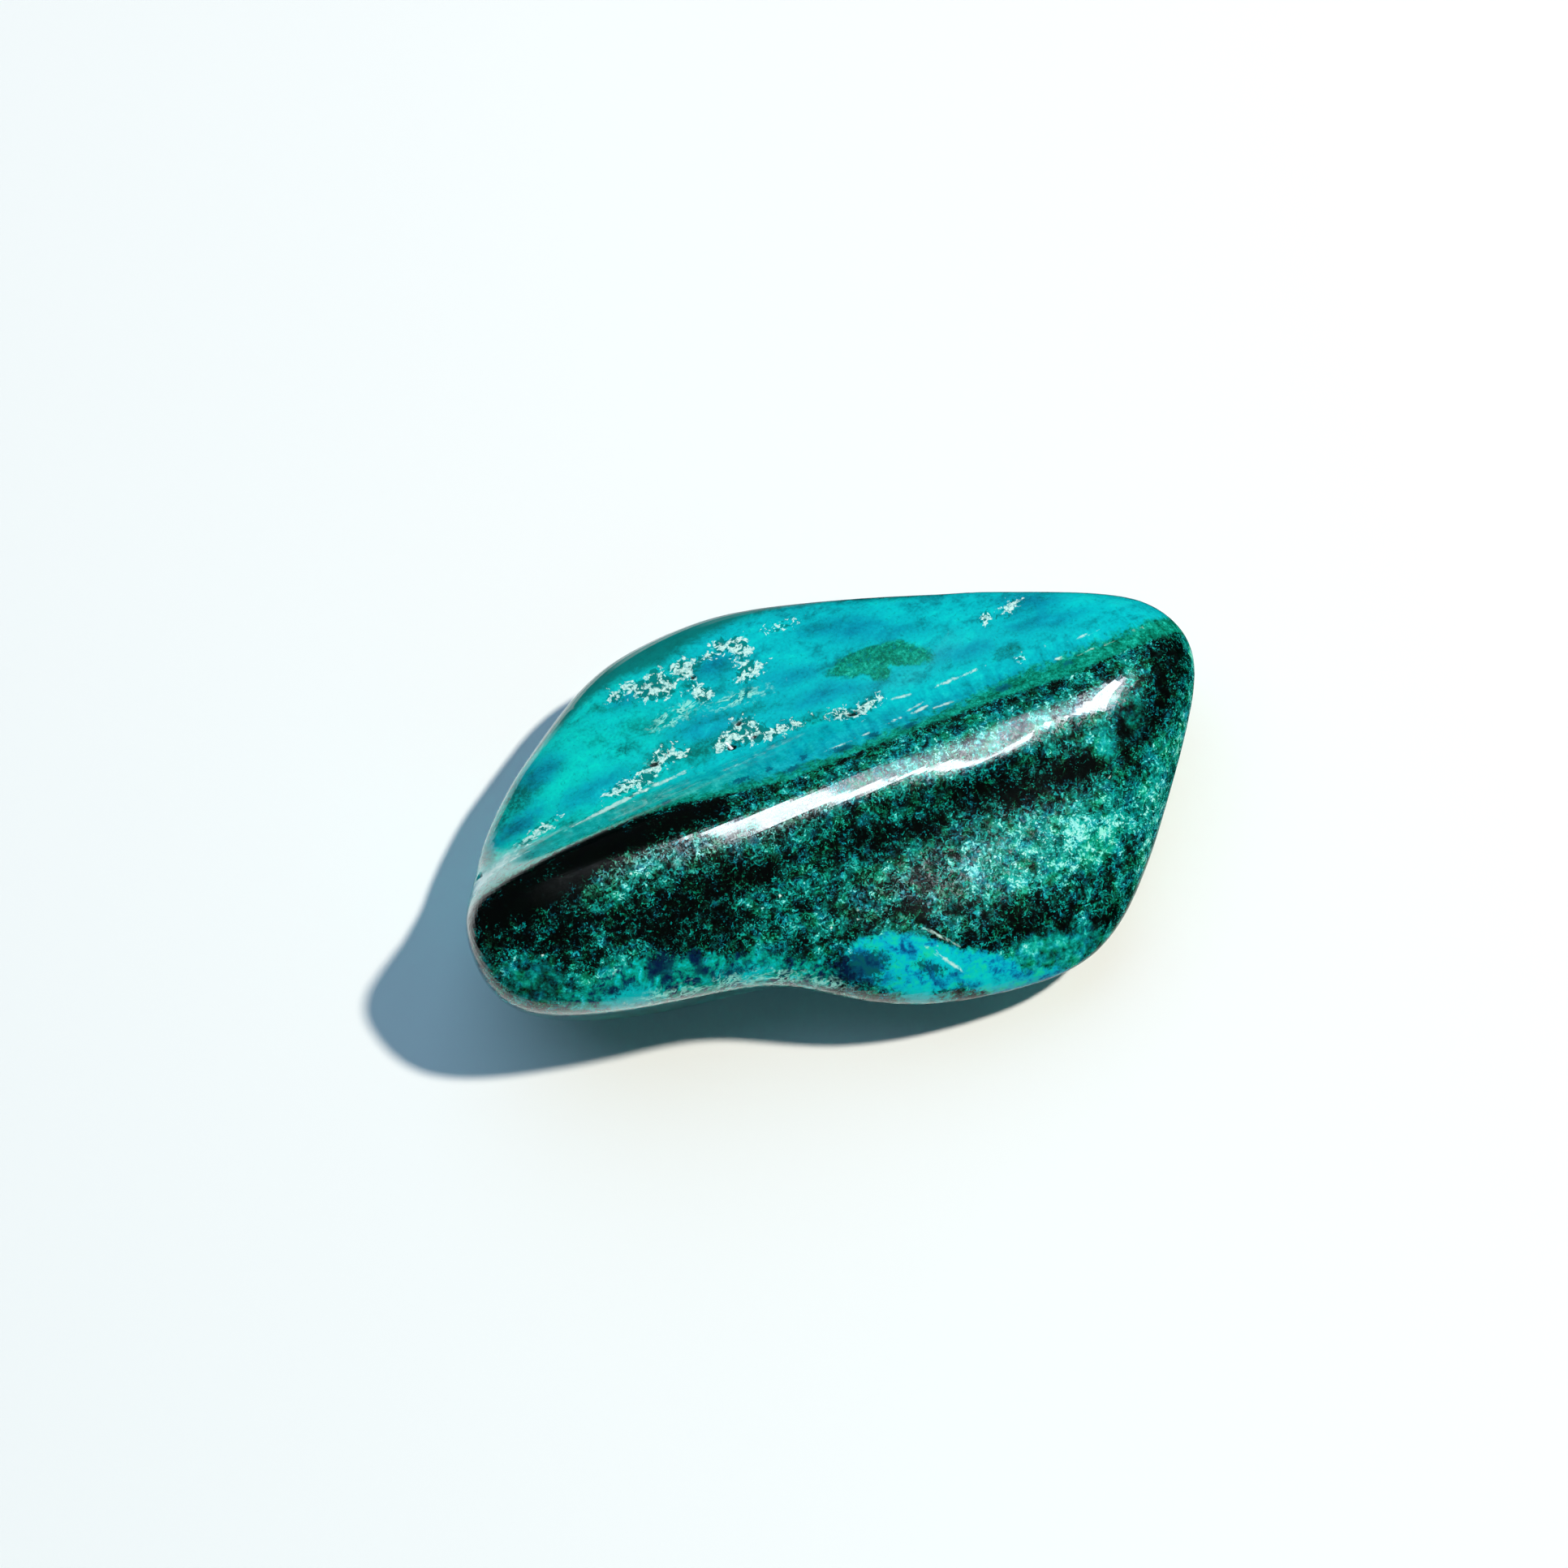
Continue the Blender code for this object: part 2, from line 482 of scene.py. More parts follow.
def inside_dab(dab):
    """How far inside an elliptical dab each point lies, in mm, and below 0 outside it."""
    x, y, along_reach, across_reach, turn = dab
    angle = math.radians(turn)
    away = POINTS - np.array([x, y, height_at(x, y)])
    along = away[:, 0] * math.cos(angle) + away[:, 1] * math.sin(angle)
    across = away[:, 1] * math.cos(angle) - away[:, 0] * math.sin(angle)
    depth_reach = max(along_reach, across_reach)
    share = np.sqrt(
        (along / along_reach) ** 2 + (across / across_reach) ** 2
        + (away[:, 2] / depth_reach) ** 2)
    return (1.0 - share) * min(along_reach, across_reach)


def store(name, values):
    """Keep one value for each point of the skin under a name."""
    kept = stone.data.attributes.new(name, "FLOAT", "POINT")
    kept.data.foreach_set("value", values.astype(np.float32))
    print(f"{name}: {values.min():.2f} to {values.max():.2f}")


def dab_on(name, dabs):
    """Paint the union of several dabs."""
    inside = np.full(len(POINTS), FAR_AWAY)
    for dab in dabs:
        inside = np.maximum(inside, inside_dab(dab))
    store(name, inside)
    return inside


# %% [markdown]
# ## The two layers
# A curved border splits the turquoise back from the dark front, and the crease behind the
# ridge runs almost straight. Both are lines along X, so a point's distance behind each line
# is a simple subtraction. Real layers carry on through the stone, so the same distances hold
# for its sides and its underside, where the border also leans and waves a little, because a
# layer is never a plumb wall.

# %% Border of the layers
BORDER_X = (-24.0, -19.0, -16.0, -12.0, -9.0, -7.5, -5.0, -2.0, 3.0, 10.0, 15.0, 20.0, 24.0)
BORDER_Y = (1.7, 2.3, 2.6, 2.7, 2.4, 1.9, 1.4, 0.9, 0.9, 0.9, 0.5, 0.7, 1.2)
GREEN_X = (-24.0, -9.0, 0.0, 8.0, 13.0, 19.0, 24.0)
GREEN_WIDTH = (0.35, 0.40, 0.60, 0.75, 1.35, 1.30, 1.20)
LEAN_BELOW = 6.0
BORDER_LEAN = 0.35
BORDER_WAVE = 0.45
WAVE_TURN = 1.3

below_shoulder = np.clip(LEAN_BELOW - POINTS[:, 2], 0.0, None)
behind_border = POINTS[:, 1] - np.interp(POINTS[:, 0], BORDER_X, BORDER_Y)
border_wave = BORDER_WAVE * np.sin(below_shoulder * WAVE_TURN)
behind_border -= BORDER_LEAN * below_shoulder + border_wave
green_width = np.interp(POINTS[:, 0], GREEN_X, GREEN_WIDTH)
store("before_border", -behind_border)
store("green_strip", green_width - behind_border)

# %% Crease
CREASE_AT_MIDDLE = 4.15
CREASE_SLOPE = -0.052
CREASE_BEND = -0.0012


def crease_y(x):
    """Where the crease runs, in mm."""
    return CREASE_AT_MIDDLE + CREASE_SLOPE * x + CREASE_BEND * x * x


store("before_crease", crease_y(POINTS[:, 0]) - POINTS[:, 1])

# %% Dark rim at the back
RIM_X = (-24.0, -17.0, -12.5, -6.0, -1.0, 3.0, 9.0, 12.0, 14.0)
RIM_WIDTH = (-1.0, 0.1, 1.2, 2.1, 1.2, 0.5, 0.8, 0.3, -1.0)
SLICE_END = 24.0
SLICE_STEP = 0.5
SLICE_REACH = 0.4


def back_edge(x):
    """The y of the stone's back edge at each x, read off the skin in narrow slices."""
    slices = np.arange(-SLICE_END, SLICE_END + 0.1, SLICE_STEP)
    near = [np.abs(POINTS[:, 0] - at) < SLICE_REACH for at in slices]
    edge = [POINTS[members, 1].max(initial=0.0) for members in near]
    return np.interp(x, slices, edge)


rim_width = np.interp(POINTS[:, 0], RIM_X, RIM_WIDTH)
store("back_rim", rim_width - (back_edge(POINTS[:, 0]) - POINTS[:, 1]))

# %% [markdown]
# ## Dabs on the turquoise shelf
# Chrysocolla turns blue where it holds more copper and water, so blue pools lie in the
# turquoise. Malachite makes a leaf-shaped green island, and pale flakes with pits sit in two
# broken rows where small cavities were filled. The pits are carved, and the black in them is
# painted shade.

# %% Blue pools
BLUE_POOLS = {
    "long_pool": (-13.0, 6.4, 2.6, 0.8, 3),
    "left_pool": (-17.6, 6.5, 2.0, 0.7, 10),
    "upper_left_pool": (-15.2, 9.0, 1.7, 0.9, 20),
    "pool_by_flakes": (-8.6, 11.0, 1.2, 0.35, 0),
    "round_eye": (-3.1, 10.6, 1.2, 0.75, 0),
    "middle_pool": (-5.2, 7.2, 1.8, 0.8, -10),
    "right_of_eye": (0.5, 8.0, 1.5, 0.6, -10),
    "behind_leaf": (5.5, 9.0, 3.0, 0.8, -25),
    "before_leaf": (2.0, 5.9, 2.4, 0.6, -10),
    "right_pool": (10.0, 5.0, 2.0, 0.4, -15),
    "far_right_pool": (16.0, 4.6, 2.2, 0.5, -15),
    "right_back_pool": (15.6, 6.3, 1.5, 0.5, -25),
}
dab_on("blue_pool", BLUE_POOLS.values())

# %% Teal shades
TEAL_SHADES = {
    "back_left_corner": (-17.0, 8.2, 1.3, 0.8, 30),
    "left_corner": (-18.6, 7.3, 0.9, 0.4, 40),
    "beside_wedge": (-20.2, 5.4, 0.5, 1.1, 20),
    "behind_row": (-8.3, 7.0, 1.2, 0.3, 15),
    "among_row": (-6.0, 6.0, 1.6, 0.4, 5),
    "behind_vein": (0.3, 4.8, 1.3, 0.35, -8),
    "mottle_left": (-10.2, 8.0, 0.7, 0.35, 0),
    "mottle_by_eye": (-3.0, 10.3, 0.5, 0.25, 0),
    "green_thread": (-3.4, 7.2, 1.3, 0.16, -12),
    "ring_left": (12.2, 3.6, 0.35, 0.4, 0),
    "ring_right": (13.3, 3.6, 0.4, 0.4, 0),
}
dab_on("teal_shade", TEAL_SHADES.values())

# %% Malachite leaf
MALACHITE = {
    "leaf_body": (5.3, 6.8, 2.6, 0.85, -6),
    "leaf_right": (7.2, 6.2, 1.7, 0.75, -28),
    "leaf_lobe": (7.3, 6.8, 0.7, 0.4, -30),
    "leaf_nub": (5.5, 5.7, 0.6, 0.5, 0),
}
dab_on("malachite", MALACHITE.values())

# %% Pale flakes
FLAKES = {
    "first": (-9.2, 11.5, 0.4, 0.28, 0),
    "second": (-7.9, 11.6, 0.7, 0.3, -8),
    "third": (-6.4, 11.1, 0.5, 0.85, 20),
    "foot": (-6.9, 10.5, 0.8, 0.3, -15),
    "fourth": (-4.8, 11.4, 0.7, 0.45, -20),
    "fifth": (-4.8, 10.1, 0.35, 0.28, 0),
    "sixth": (-4.5, 9.2, 0.42, 0.5, 0),
    "bridge": (-3.2, 11.45, 0.9, 0.14, 6),
    "seventh": (-2.3, 11.7, 0.35, 0.4, 0),
    "eighth": (-1.3, 11.3, 0.6, 0.45, -40),
    "ninth": (-1.3, 10.5, 0.5, 0.3, 20),
    "tenth": (-1.5, 9.2, 0.75, 0.32, 10),
    "back_speck": (1.5, 11.35, 0.5, 0.16, -10),
    "row_start": (-11.3, 5.75, 0.7, 0.3, 10),
    "row_long": (-9.3, 6.05, 1.25, 0.36, 32),
    "row_end": (-7.6, 6.25, 0.45, 0.2, 0),
    "knot": (-3.3, 5.9, 0.9, 0.75, -20),
    "knot_left": (-4.8, 5.7, 0.5, 0.35, 20),
    "knot_foot": (-2.2, 5.1, 1.1, 0.22, -6),
    "left_pair": (-16.6, 5.45, 0.6, 0.18, 15),
    "left_dash": (-17.7, 5.1, 0.35, 0.12, 0),
    "vein_head": (2.4, 4.15, 0.65, 0.3, -30),
    "vein_body": (3.6, 4.0, 0.8, 0.26, 15),
    "right_speck": (12.7, 6.35, 0.28, 0.25, 45),
    "right_tick": (14.4, 6.45, 0.35, 0.14, 20),
    "ring_dot": (13.35, 3.0, 0.16, 0.16, 0),
}
flake_depths = dab_on("flake", FLAKES.values())

# %% Pits
# The pits are carved into the skin, and the black that fills them is painted shade.
PITS = {
    "big_pit": (-4.55, 10.7, 0.24, 0.22, 0),
    "left_pit": (-8.0, 10.3, 0.42, 0.14, 0),
    "pit_in_third": (-7.3, 11.3, 0.3, 0.18, 0),
    "row_pit": (-9.0, 6.35, 0.3, 0.2, 0),
    "row_pit_two": (-8.1, 6.7, 0.26, 0.18, 0),
    "row_pit_three": (-9.9, 6.0, 0.25, 0.12, 30),
    "knot_pit": (-4.4, 5.3, 0.3, 0.2, 0),
    "knot_pit_two": (-3.4, 6.6, 0.25, 0.16, 0),
    "knot_pit_three": (-3.0, 5.3, 0.2, 0.12, 0),
    "left_pair_pit": (-15.9, 5.65, 0.32, 0.16, 10),
    "vein_pit": (2.85, 4.0, 0.3, 0.17, -15),
    "wedge_pit": (-21.1, 4.5, 0.22, 0.18, 0),
}
pit_depths = dab_on("pit", PITS.values())

# %% [markdown]
# ## Dabs on the dark front
# The front is a mat of fine green grains in a black ground. Here each dab adds to or takes
# from one number, the tone, which later picks the colour: 0 is black, 1 is the palest
# teal. The change is the last number of each dab. The grains come in the shader, because they
# are finer than the skin's faces.

# %% Darker places
DARKER = {
    "black_shoulder": (-18.0, 1.1, 5.5, 1.45, 4, -0.60),
    "black_tongue": (-11.0, 1.45, 4.8, 1.0, -4, -0.58),
    "black_left": (-19.7, -1.0, 3.0, 1.6, -8, -0.34),
    "black_lower_left": (-17.6, -3.2, 2.3, 1.5, -10, -0.26),
    "dark_middle_left": (-14.2, -3.7, 2.6, 1.3, -10, -0.20),
    "dark_row": (-11.3, -5.2, 3.0, 1.3, -12, -0.24),
    "under_streak_left": (-9.2, -3.1, 3.4, 0.9, -4, -0.36),
    "hole": (-6.4, -3.4, 0.9, 0.7, 0, -0.30),
    "small_hole": (0.9, -8.4, 0.6, 0.4, 0, -0.40),
    "by_lobe": (1.9, -9.3, 0.7, 0.3, -10, -0.35),
    "black_notch": (-5.0, -9.8, 0.9, 0.4, -10, -0.60),
    "dark_streak": (0.6, -4.0, 3.2, 0.6, -8, -0.36),
    "dark_streak_end": (4.0, -4.9, 1.6, 0.45, -20, -0.20),
    "dark_band": (9.5, -4.2, 4.9, 0.90, -7, -0.33),
    "dark_band_end": (13.6, -5.0, 2.4, 0.7, -5, -0.20),
    "beside_green": (16.9, -3.9, 0.6, 0.8, 0, -0.30),
    "right_end_upper": (22.2, 0.3, 0.9, 1.4, -20, -0.42),
    "right_end_lower": (20.6, -2.1, 1.2, 2.2, -30, -0.34),
    "right_end_foot": (19.3, -4.0, 1.2, 0.8, 30, -0.25),
    "lower_right": (5.9, -11.3, 3.0, 0.80, -8, -0.36),
    "lower_right_end": (10.2, -12.5, 2.2, 0.8, 0, -0.36),
}
print(len(DARKER), "darker places")

# %% Lighter places
LIGHTER = {
    "left_end": (-21.3, -3.3, 1.9, 1.4, -50, 0.14),
    "left_blob": (-16.6, -3.2, 0.55, 0.5, 0, 0.55),
    "left_blob_foot": (-16.1, -4.4, 0.5, 0.35, 0, 0.40),
    "left_fleck": (-20.9, -0.5, 0.5, 0.35, 0, 0.30),
    "left_green": (-17.6, -4.7, 1.2, 0.5, -20, 0.22),
    "left_green_low": (-15.3, -4.9, 0.9, 0.35, 0, 0.22),
    "shoulder_fleck": (-18.6, -1.7, 1.2, 0.35, 15, 0.30),
    "shoulder_spot": (-17.7, 2.0, 0.3, 0.2, 0, 0.35),
    # The three crest dabs are painted sheen: they lighten the tone along the ridge, under its hazy
    # highlight.
    "crest_sheen_start": (-14.5, -0.7, 2.6, 0.9, 0, 0.12),
    "crest_sheen_left": (-6.0, -0.7, 7.0, 1.2, -4, 0.03),
    "crest_sheen_right": (8.0, -1.2, 9.0, 1.3, -3, 0.14),
    "green_patch": (15.5, -4.0, 0.5, 1.0, -8, 0.50),
    "pale_field": (9.2, -8.2, 4.8, 1.9, -8, 0.29),
    "pale_field_right": (13.4, -7.6, 2.4, 1.8, 0, 0.18),
    "pale_by_lobe": (2.2, -9.6, 1.3, 0.6, -20, 0.25),
    "green_ring": (10.2, -12.4, 0.5, 0.55, 0, 0.58),
    "smooth_green": (7.4, -13.4, 4.0, 1.1, -2, 0.30),
    "pale_spot": (2.3, -5.4, 0.7, 0.4, 0, 0.20),
    "right_rim": (23.5, -0.3, 0.7, 3.0, 0, 0.60),
    "lower_right_rim": (18.3, -7.6, 8.5, 1.7, 56, 0.26),
}
print(len(LIGHTER), "lighter places")

# %% Tone of the front
FRONT_TONE = 0.40
TONE_SOFTNESS = 0.70


def smooth_share(values, low, high):
    """0 below low, 1 above high and a smooth rise between."""
    share = np.clip((values - low) / (high - low), 0.0, 1.0)
    return share * share * (3.0 - 2.0 * share)


def add_tones(tones, dabs):
    """Add each dab's change of tone, fading over a soft border."""
    for *dab, change in dabs.values():
        share = smooth_share(inside_dab(dab), -TONE_SOFTNESS, TONE_SOFTNESS)
        tones += change * share
    return tones


front_tones = np.full(len(POINTS), FRONT_TONE)
for tone_dabs in (DARKER, LIGHTER):
    front_tones = add_tones(front_tones, tone_dabs)
store("front_tone", front_tones)

# %% [markdown]
# ## Dabs along the front edge
# A second, thinner seam of blue comes out along the front edge and swells into a lobe. Deep
# blue spots run through it, and a whitish crust follows its lower rim.

# %% Lobe and seam
LOBE = {
    "lobe": (-0.6, -11.0, 3.7, 1.55, -28),
    "lobe_right": (3.3, -12.9, 3.2, 1.0, -32),
    "lobe_tail": (6.0, -14.3, 2.6, 0.5, -6),
}
SEAM = {
    "seam_start": (-18.2, -6.1, 2.0, 0.7, -22),
    "seam_left": (-15.6, -6.6, 3.0, 1.5, -14),
    "seam_middle": (-12.6, -7.2, 2.6, 1.3, -10),
    "seam_right": (-9.2, -8.0, 2.4, 1.0, -14),
    "seam_to_lobe": (-6.3, -9.3, 1.7, 0.8, -35),
}
dab_on("lobe", LOBE.values())
dab_on("seam", SEAM.values())

# %% Cyan and deep blue spots
CYAN_SPOTS = {
    "left_foot": (-16.4, -6.6, 1.8, 0.55, -12),
    "middle_foot": (-9.6, -7.9, 1.4, 0.35, -14),
    "lobe_bend": (1.5, -11.8, 1.0, 0.6, -40),
    "lobe_foot": (-0.6, -12.7, 1.2, 0.4, -25),
    "lobe_tail": (3.6, -13.6, 1.2, 0.3, -25),
}
DEEP_BLUES = {
    "lobe_top": (-3.2, -10.1, 1.6, 0.75, -12),
    "lobe_left": (-2.9, -11.0, 0.8, 0.22, -20),
    "lobe_heart": (0.5, -11.7, 0.9, 0.32, -42),
    "edge_one": (-14.0, -5.9, 0.8, 0.75, -30),
    "edge_two": (-12.0, -6.6, 0.35, 0.8, 0),
    "edge_three": (-10.3, -7.6, 1.3, 0.28, -8),
    "edge_four": (-17.0, -6.0, 0.8, 0.2, -10),
}
dab_on("cyan_spot", CYAN_SPOTS.values())
dab_on("deep_blue", DEEP_BLUES.values())

# %% White wedge and crust
# The white wedge is partly a pale patch of the stone and partly painted highlight, and its tail is
# the crease's painted highlight line carried to the left end.
WEDGE_AND_HIGHLIGHT = {
    "white_wedge": (-21.3, 3.7, 1.1, 0.7, 25),
    "wedge_highlight_tail": (-19.9, 4.2, 0.9, 0.3, 20),
}
CRUST = {
    "crust_left": (-14.0, -7.35, 1.6, 0.30, -12),
    "crust_middle": (-10.4, -8.0, 1.0, 0.22, -15),
    "crust_right": (-8.3, -8.65, 1.7, 0.30, -20),
    "crust_to_lobe": (-5.5, -10.0, 1.2, 0.25, -38),
    "row_thread": (-6.4, 8.7, 1.6, 0.45, 8),
    "row_thread_right": (-2.8, 8.0, 1.6, 0.35, -4),
}
dab_on("wedge", WEDGE_AND_HIGHLIGHT.values())
dab_on("crust", CRUST.values())

# %% [markdown]
# ## Veins, dots and glints
# The smallest marks are hair-thin: pale veins along the crease and in the band in front of it,
# a painted highlight on the crease itself, a row of dark blue dots beside the veins, and a few
# painted glints, white dots laid into the colour as highlights. They are too many to name one
# by one, so each row of them is a plain list of dabs.

# %% Pale veins
# The first row is painted highlight: the thin white line that the crease's edge shows in the
# light. The other rows are pale veins.
CREASE_HIGHLIGHTS = (
    (-12.2, 4.8, 2.4, 0.14, 5), (-9.0, 4.95, 1.4, 0.08, 3), (-18.9, 4.05, 1.1, 0.06, 3),
)
LOBE_LINES = (
    (1.6, -11.8, 0.95, 0.09, -52), (1.0, -10.6, 0.35, 0.07, -20), (1.7, -10.35, 1.2, 0.09, -47),
)
LOWER_VEINS = (
    (0.9, 1.95, 0.5, 0.06, 0), (2.7, 2.0, 0.2, 0.08, 0), (4.6, 2.2, 0.6, 0.06, 5),
    (6.4, 2.3, 0.45, 0.10, 10), (6.2, 2.65, 0.4, 0.05, 12), (7.8, 2.0, 0.5, 0.07, 0),
)
RIGHT_VEINS = (
    (15.2, 1.9, 0.4, 0.07, -10), (16.9, 1.6, 0.4, 0.06, 0), (18.3, 1.6, 0.4, 0.06, 0),
    (20.4, 1.8, 0.5, 0.07, 0),
)
UPPER_VEINS = (
    (5.9, 3.75, 0.4, 0.07, -10), (8.2, 3.45, 0.3, 0.06, 0), (9.0, 3.45, 0.3, 0.10, 0),
    (10.4, 3.4, 0.6, 0.05, 0), (14.5, 3.0, 0.3, 0.07, 0), (17.4, 2.65, 0.6, 0.06, 0),
)
VEINS_AND_CREASE_HIGHLIGHTS = CREASE_HIGHLIGHTS + LOBE_LINES + LOWER_VEINS + RIGHT_VEINS + UPPER_VEINS
dab_on("vein_and_crease_highlight", VEINS_AND_CREASE_HIGHLIGHTS)

# %% Dark dots and glints
DARK_DOTS = (
    (-9.7, 2.95, 0.3, 0.2, 30), (-5.2, 2.3, 0.5, 0.25, 0), (-3.4, 2.3, 0.25, 0.2, 0),
    (-1.2, 2.1, 0.25, 0.2, 0), (-2.2, 1.6, 0.5, 0.2, 0), (1.0, 1.6, 0.6, 0.25, -10),
    (3.1, 1.7, 0.4, 0.2, 0), (5.3, 1.4, 0.5, 0.2, 0), (11.4, 1.5, 0.5, 0.25, 0),
    (15.6, 1.3, 0.35, 0.25, 0),
)
# Each glint is a painted highlight: a tiny white dot in the colour, where a crystal would catch
# the light.
PAINTED_GLINTS = (
    (-20.13, -2.81, 0.13, 0.13, 0), (-13.59, -0.78, 0.11, 0.11, 0), (-6.07, -4.98, 0.10, 0.10, 0),
    (-2.13, -7.23, 0.13, 0.10, 0), (-1.14, -7.67, 0.11, 0.10, 0), (-2.39, -7.80, 0.12, 0.12, 0),
    (1.49, -7.21, 0.11, 0.11, 0), (7.69, -8.57, 0.10, 0.10, 0), (14.92, -5.88, 0.12, 0.12, 0),
    (-4.01, -7.58, 0.09, 0.09, 0),
)
dab_on("dark_dot", DARK_DOTS)
dab_on("painted_glint", PAINTED_GLINTS)

# %% [markdown]
# ## Calm places and a worn rim
# In some places the green is smooth, with hardly any grain. Round the right end the tumbler
# wore the rim down to a duller face, which mirrors less than the rest.

# %% Calm places and worn rim
CALM = {
    "left_end": (-20.9, -3.9, 1.5, 1.4, -40),
    "left_foot": (-18.6, -5.6, 1.6, 0.5, -25),
    "smooth_green": (7.6, -13.5, 3.8, 1.2, -2),
    "green_patch": (15.4, -4.1, 0.45, 1.0, -8),
    "patch_shadow": (17.4, -3.4, 0.8, 1.2, -20),
    "right_rim": (23.3, -0.6, 0.5, 2.2, 0),
}
WORN_RIMS = {
    "right_end": (23.6, 0.5, 1.1, 4.2, 0),
    "lower_right": (19.3, -8.0, 9.5, 1.1, 58),
}
dab_on("calm", CALM.values())
dab_on("worn_rim", WORN_RIMS.values())

# %% [markdown]
# ## Carving what the hand would feel
# Pits beside the flakes and the slight waviness of a tumbled surface are real relief. A bump in
# the material would only shade them, so they are pushed into the skin itself. Two low swellings
# on the crest bend the mirrored streak to the shape that it has on the real stone. Each point
# moves along its own normal. The foot is then pressed flat again so that the stone rests as the
# solid does.

# %% Swellings on the crest
SWELL_ABOVE = 6.0
# Each swelling in mm: x and y of its top, reach along the ridge, width across it, height.
SWELLINGS = {
    "broad": (2.0, -1.0, 9.0, 2.2, 0.16),
    "narrow": (8.0, -2.75, 7.0, 0.5, 0.11),
}


def crest_swellings():
    """How far the swellings lift each point."""
    lifts = np.zeros(len(POINTS))
    for top_x, top_y, reach, width, height in SWELLINGS.values():
        from_top = np.clip((POINTS[:, 0] - top_x) / reach, -1.0, 1.0)
        off_crest = (POINTS[:, 1] - top_y) / width
        lift = height * 0.5 * (1.0 + np.cos(math.pi * from_top))
        lifts += lift * np.exp(-0.5 * off_crest * off_crest)
    return lifts * (POINTS[:, 2] > SWELL_ABOVE)


print(f"highest swelling: {crest_swellings().max():.2f} mm")

# %% Relief
PIT_DEPTH = 0.16
PIT_SLOPE = 0.12
FLAKE_SINK = 0.05
FLAKE_EDGE = (-0.1, 0.2)
FLAKE_CRUMBS_PER_MM = 2.4
RIPPLE_HEIGHT = 0.006
RIPPLE_LENGTH = 1.6
FOOT_BELOW = 0.02


def carve():
    """Move each point of the skin along its normal."""
    normals = np.array([corner.normal for corner in stone.data.vertices])
    moves = -PIT_DEPTH * smooth_share(pit_depths, -PIT_SLOPE, PIT_SLOPE)
    crumbs = [noise.noise(Vector(point) * FLAKE_CRUMBS_PER_MM) for point in POINTS]
    moves += FLAKE_SINK * smooth_share(flake_depths, *FLAKE_EDGE) * np.array(crumbs)
    ripples = [noise.noise(Vector(point) / RIPPLE_LENGTH) for point in POINTS]
    moves += RIPPLE_HEIGHT * np.array(ripples) + crest_swellings()
    moved = POINTS + normals * moves[:, None]
    moved[:, 2] = np.maximum(moved[:, 2], 0.0)
    on_foot = POINTS[:, 2] < FOOT_BELOW
    moved[on_foot, 2] = 0.0
    stone.data.vertices.foreach_set("co", (moved * MM).ravel())
    stone.data.update()
    print(f"deepest pit {-moves.min():.2f} mm, flat foot of {on_foot.sum()} points")


carve()

# %% [markdown]
# ## Torn edges
# Minerals never meet in a clean line. This group takes how far inside a dab a point lies,
# adds some noise, and cuts the sum off sharply, so the border frays by a chosen width.

# %% Torn edge group
def make_torn_edge():
    """Inside (mm), Noise (0 to 1), Fray (mm) and Blur (mm) make a crisp mask."""
    inputs = {"Inside": "value", "Noise": "value", "Fray": "value", "Blur": "value"}
    tree, entry, exit_node = new_group("torn_edge", inputs, {"Mask": "value"})
    wander = swing(tree, entry["Noise"], entry["Fray"])
    place = total(tree, entry["Inside"], wander)
    low = times(tree, entry["Blur"], -1.0)
    mask = spread(tree, place, low, entry["Blur"])
    tree.links.new(mask, exit_node["Mask"])
    return tree


torn_edge = make_torn_edge()
print("group:", torn_edge.name)

# %% [markdown]
# ## Grains
# Close up, the front is a felt of tiny crystals, each a little lighter or darker than its
# neighbour. They are a tenth of a millimetre wide, too many to model, and the polish has made
# them level. Cells of a Voronoi pattern, bent by noise into short curls, give every crystal
# its own random value. The same cell tilts the surface slightly, so the highlight on the
# ridge breaks up into glitter.

# %% Grain group
CURLS_PER_MM = 2.6
CURL_DETAIL = 2.0
CURL_REACH = 1.3


def make_grains():
    """Vector (mm), Per mm, Normal and Tilt make a value and a normal for each grain."""
    inputs = {"Vector": "vector", "Per mm": "value", "Normal": "vector", "Tilt": "value"}
    outputs = {"Grain": "value", "Normal": "vector"}
    tree, entry, exit_node = new_group("crystal_grains", inputs, outputs)
    curled = bent_by_noise(tree, entry["Vector"], CURLS_PER_MM, CURL_DETAIL, CURL_REACH)
    cells = put(tree, "ShaderNodeTexVoronoi", {"Vector": curled, "Scale": entry["Per mm"]})
    shares = put(tree, "ShaderNodeSeparateColor", {0: cells.outputs["Color"]})
    tree.links.new(shares.outputs[0], exit_node["Grain"])
    lean = swing_vector(tree, cells.outputs["Color"], entry["Tilt"])
    lean = vector_sum(tree, "ADD", {0: lean, 1: entry["Normal"]})
    lean = vector_sum(tree, "NORMALIZE", {0: lean})
    tree.links.new(lean, exit_node["Normal"])
    return tree


crystal_grains = make_grains()
print("group:", crystal_grains.name)

# %% [markdown]
# ## The colours of the minerals
# Each mineral has a row of colours from its darkest to its palest, and noise picks a place in
# the row. That gives a richer surface than one colour made lighter and darker, because real
# turquoise also turns greener as it gets paler.

# %% Shelf and band colours
def paint_row(*stops):
    """A row of colours, each given by its place from 0 to 1 and its red, green and blue."""
    return [(place, pigment(*colour)) for place, *colour in stops]


